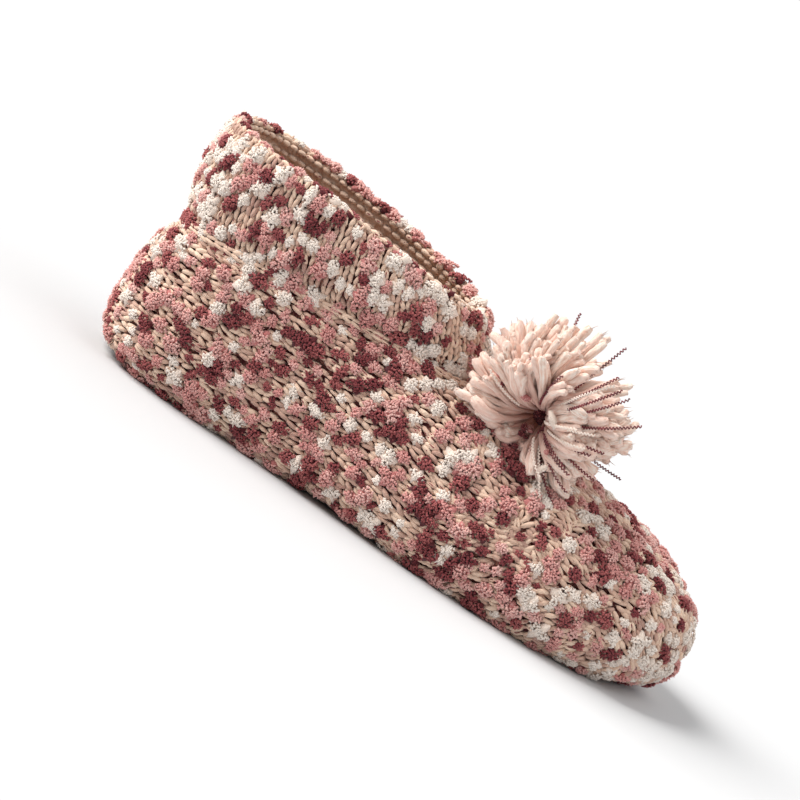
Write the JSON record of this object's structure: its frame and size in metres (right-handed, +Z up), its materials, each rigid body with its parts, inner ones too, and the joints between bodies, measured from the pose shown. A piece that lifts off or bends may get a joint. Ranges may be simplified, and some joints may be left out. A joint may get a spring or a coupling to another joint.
{
  "type": "house sock",
  "caption": "Knitted ankle-high house sock with a blunt round toe, a band knitted round its open collar and a cut-yarn pompom at the front.",
  "frame": {"origin": "on the floor, under the middle of the sock's length and width", "axes": "+X from heel to toe, +Z up out of the collar"},
  "size_m": [0.245, 0.0902, 0.099],
  "materials": {
    "foot_yarn": "stocking stitch in cream yarn with burgundy, pink and white slubs",
    "cuff_yarn": "wide stocking stitch in the same slub yarn, with a cast-off edge",
    "pompom_yarn": "soft peach cut yarn with fine crimped burgundy threads"
  },
  "bodies": {
    "root": {"knitted_foot": "foot_yarn", "knitted_cuff": "cuff_yarn", "yarn_pompom": "pompom_yarn"}
  },
  "joints": []
}
